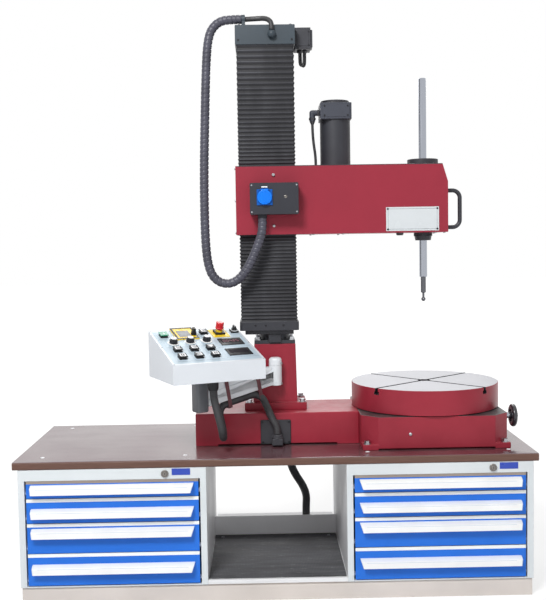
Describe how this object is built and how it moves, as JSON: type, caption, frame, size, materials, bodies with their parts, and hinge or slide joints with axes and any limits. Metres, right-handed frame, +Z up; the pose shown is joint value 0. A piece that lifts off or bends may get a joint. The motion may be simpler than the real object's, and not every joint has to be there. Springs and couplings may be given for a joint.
{
  "type": "tool grinding machine",
  "caption": "Column tool grinding machine with a lifting, swinging arm, a vertical spindle over a round slotted table and a swing-out console, on a drawer bench.",
  "frame": {"origin": "middle of the footprint on the floor", "axes": "+Z up, +X towards the round table, -Y towards the operator"},
  "size_m": [2, 0.822, 2.2805],
  "materials": {
    "worktop": "satin laminate",
    "carcass": "satin paint",
    "plinth": "matt paint",
    "drawer": "satin paint",
    "dark_box": "matt paint",
    "red_casting": "gloss paint",
    "red_sheet": "gloss paint",
    "steel": "ground",
    "red_table": "gloss paint, ground top",
    "black_metal": "matt paint",
    "bellows": "matt",
    "hose": "matt",
    "belt": "matt",
    "grey_metal": "satin paint",
    "console": "satin paint",
    "black_plastic": "matt",
    "blue_plastic": "gloss",
    "red_plastic": "gloss",
    "green_plastic": "gloss"
  },
  "bodies": {
    "bench": {"worktop": "worktop", "cabinet_carcasses": "carcass", "bench_frame": "plinth", "control_cabinet": "dark_box", "cable_fittings": "dark_box", "bench_hose": "hose", "bed": "red_casting", "table_base": "red_casting", "pedestal": "red_casting", "swivel_plate": "black_metal", "console_bracket": "grey_metal", "hex_bolts": "steel"},
    "left_drawer_1": {"left_drawer_1": "drawer"},
    "left_drawer_2": {"left_drawer_2": "drawer"},
    "left_drawer_3": {"left_drawer_3": "drawer"},
    "left_drawer_4": {"left_drawer_4": "drawer"},
    "right_drawer_1": {"right_drawer_1": "drawer"},
    "right_drawer_2": {"right_drawer_2": "drawer"},
    "right_drawer_3": {"right_drawer_3": "drawer"},
    "right_drawer_4": {"right_drawer_4": "drawer"},
    "column": {"column_foot": "black_metal", "column_post": "steel", "column_head": "black_metal", "lift_motor": "black_metal", "upper_bellows": "bellows", "lower_bellows": "bellows", "conduit_hose": "hose"},
    "arm": {"arm_housing": "red_sheet", "arm_carriage": "steel", "spindle_bearings": "steel", "spindle_motor": "black_metal", "drive_belt": "belt", "grab_handle": "black_plastic", "socket_box": "black_plastic"},
    "lead_screw": {"lead_screw": "steel"},
    "spindle": {"drive_sleeve": "black_metal"},
    "shaft": {"spindle_shaft": "steel", "tool_holder": "black_metal"},
    "motor_pulley": {"motor_pulley": "steel"},
    "socket_lid": {"socket_lid": "blue_plastic"},
    "table": {"round_table": "red_table"},
    "worm": {"worm_shaft": "steel", "handwheel": "black_plastic"},
    "console_support": {"console_arm": "grey_metal", "console_hose": "hose"},
    "console": {"console_box": "console"},
    "estop_button": {"estop_button": "red_plastic"},
    "main_switch": {"main_switch": "black_plastic"},
    "selector_switch": {"selector_switch": "black_plastic"},
    "speed_knob_1": {"speed_knob_1": "black_plastic"},
    "speed_knob_2": {"speed_knob_2": "black_plastic"},
    "speed_knob_3": {"speed_knob_3": "black_plastic"},
    "push_button_1": {"push_button_1": "green_plastic"},
    "push_button_2": {"push_button_2": "black_plastic"},
    "push_button_3": {"push_button_3": "black_plastic"},
    "push_button_4": {"push_button_4": "black_plastic"},
    "push_button_5": {"push_button_5": "black_plastic"},
    "push_button_6": {"push_button_6": "black_plastic"},
    "push_button_7": {"push_button_7": "black_plastic"},
    "push_button_8": {"push_button_8": "black_plastic"}
  },
  "joints": [
    {"name": "left_drawer_1_slide", "type": "slide", "parent": "bench", "child": "left_drawer_1", "axis": [0, -1, 0], "range_m": [0, 0.45]},
    {"name": "left_drawer_2_slide", "type": "slide", "parent": "bench", "child": "left_drawer_2", "axis": [0, -1, 0], "range_m": [0, 0.45]},
    {"name": "left_drawer_3_slide", "type": "slide", "parent": "bench", "child": "left_drawer_3", "axis": [0, -1, 0], "range_m": [0, 0.45]},
    {"name": "left_drawer_4_slide", "type": "slide", "parent": "bench", "child": "left_drawer_4", "axis": [0, -1, 0], "range_m": [0, 0.45]},
    {"name": "right_drawer_1_slide", "type": "slide", "parent": "bench", "child": "right_drawer_1", "axis": [0, -1, 0], "range_m": [0, 0.45]},
    {"name": "right_drawer_2_slide", "type": "slide", "parent": "bench", "child": "right_drawer_2", "axis": [0, -1, 0], "range_m": [0, 0.45]},
    {"name": "right_drawer_3_slide", "type": "slide", "parent": "bench", "child": "right_drawer_3", "axis": [0, -1, 0], "range_m": [0, 0.45]},
    {"name": "right_drawer_4_slide", "type": "slide", "parent": "bench", "child": "right_drawer_4", "axis": [0, -1, 0], "range_m": [0, 0.45]},
    {"name": "column_swing", "type": "hinge", "parent": "bench", "child": "column", "pos_m": [0.006, 0.071, 0.98], "axis": [0, 0, 1], "range_deg": [-75, 60]},
    {"name": "arm_lift", "type": "slide", "parent": "column", "child": "arm", "axis": [0, 0, 1], "range_m": [-0.15, 0.2], "deforming": ["upper_bellows", "lower_bellows", "conduit_hose"]},
    {"name": "screw_turn", "type": "hinge", "parent": "column", "child": "lead_screw", "pos_m": [-0.015, 0.038, 1.6], "axis": [0, 0, 1], "range_deg": [-2750, 3650]},
    {"name": "spindle_spin", "type": "hinge", "parent": "arm", "child": "spindle", "pos_m": [0.63, 0.071, 1.53], "axis": [0, 0, 1], "continuous": true},
    {"name": "shaft_feed", "type": "slide", "parent": "spindle", "child": "shaft", "axis": [0, 0, 1], "range_m": [-0.12, 0.06]},
    {"name": "motor_spin", "type": "hinge", "parent": "arm", "child": "motor_pulley", "pos_m": [0.269, 0.071, 1.53], "axis": [0, 0, 1], "continuous": true},
    {"name": "lid_hinge", "type": "hinge", "parent": "arm", "child": "socket_lid", "pos_m": [-0.027, -0.1393, 1.574], "axis": [-1, 0, 0], "range_deg": [0, 110]},
    {"name": "table_turn", "type": "hinge", "parent": "bench", "child": "table", "pos_m": [0.63, 0.071, 0.7], "axis": [0, 0, 1], "continuous": true},
    {"name": "worm_turn", "type": "hinge", "parent": "bench", "child": "worm", "pos_m": [0.9, -0.081, 0.655], "axis": [1, 0, 0], "continuous": true},
    {"name": "console_swing", "type": "hinge", "parent": "bench", "child": "console_support", "pos_m": [0.006, -0.026, 0.84], "axis": [0, 0, 1], "range_deg": [-3, 50], "deforming": ["console_hose"]},
    {"name": "console_turn", "type": "hinge", "parent": "console_support", "child": "console", "pos_m": [-0.29, -0.219, 0.83], "axis": [0, 0, 1], "range_deg": [0, 33]},
    {"name": "estop_press", "type": "slide", "parent": "console", "child": "estop_button", "axis": [-0.1359, 0.3024, -0.9435], "range_m": [0, 0.004], "stiffness_N_per_m": 800},
    {"name": "main_switch_turn", "type": "hinge", "parent": "console", "child": "main_switch", "pos_m": [-0.31749, -0.12954, 1.00421], "axis": [-0.1359, 0.3024, -0.9435], "range_deg": [0, 90]},
    {"name": "selector_turn", "type": "hinge", "parent": "console", "child": "selector_switch", "pos_m": [-0.1604, -0.04239, 1.00951], "axis": [-0.1359, 0.3024, -0.9435], "range_deg": [-45, 45]},
    {"name": "speed_knob_1_turn", "type": "hinge", "parent": "console", "child": "speed_knob_1", "pos_m": [-0.38837, -0.22552, 0.98366], "axis": [-0.1359, 0.3024, -0.9435], "range_deg": [-135, 135]},
    {"name": "speed_knob_2_turn", "type": "hinge", "parent": "console", "child": "speed_knob_2", "pos_m": [-0.32621, -0.19552, 0.98432], "axis": [-0.1359, 0.3024, -0.9435], "range_deg": [-135, 135]},
    {"name": "speed_knob_3_turn", "type": "hinge", "parent": "console", "child": "speed_knob_3", "pos_m": [-0.26404, -0.16551, 0.98498], "axis": [-0.1359, 0.3024, -0.9435], "range_deg": [-135, 135]},
    {"name": "push_button_1_press", "type": "slide", "parent": "console", "child": "push_button_1", "axis": [-0.1359, 0.3024, -0.9435], "range_m": [0, 0.003], "stiffness_N_per_m": 400},
    {"name": "push_button_2_press", "type": "slide", "parent": "console", "child": "push_button_2", "axis": [-0.1359, 0.3024, -0.9435], "range_m": [0, 0.003], "stiffness_N_per_m": 400},
    {"name": "push_button_3_press", "type": "slide", "parent": "console", "child": "push_button_3", "axis": [-0.1359, 0.3024, -0.9435], "range_m": [0, 0.003], "stiffness_N_per_m": 400},
    {"name": "push_button_4_press", "type": "slide", "parent": "console", "child": "push_button_4", "axis": [-0.1359, 0.3024, -0.9435], "range_m": [0, 0.003], "stiffness_N_per_m": 400},
    {"name": "push_button_5_press", "type": "slide", "parent": "console", "child": "push_button_5", "axis": [-0.1359, 0.3024, -0.9435], "range_m": [0, 0.003], "stiffness_N_per_m": 400},
    {"name": "push_button_6_press", "type": "slide", "parent": "console", "child": "push_button_6", "axis": [-0.1359, 0.3024, -0.9435], "range_m": [0, 0.003], "stiffness_N_per_m": 400},
    {"name": "push_button_7_press", "type": "slide", "parent": "console", "child": "push_button_7", "axis": [-0.1359, 0.3024, -0.9435], "range_m": [0, 0.003], "stiffness_N_per_m": 400},
    {"name": "push_button_8_press", "type": "slide", "parent": "console", "child": "push_button_8", "axis": [-0.1359, 0.3024, -0.9435], "range_m": [0, 0.003], "stiffness_N_per_m": 400}
  ],
  "couplings": [
    {"joint": "screw_turn", "follows": "arm_lift", "rad_per_m": 314.16},
    {"joint": "motor_spin", "follows": "spindle_spin", "ratio": 1.5},
    {"joint": "worm_turn", "follows": "table_turn", "ratio": 60}
  ]
}
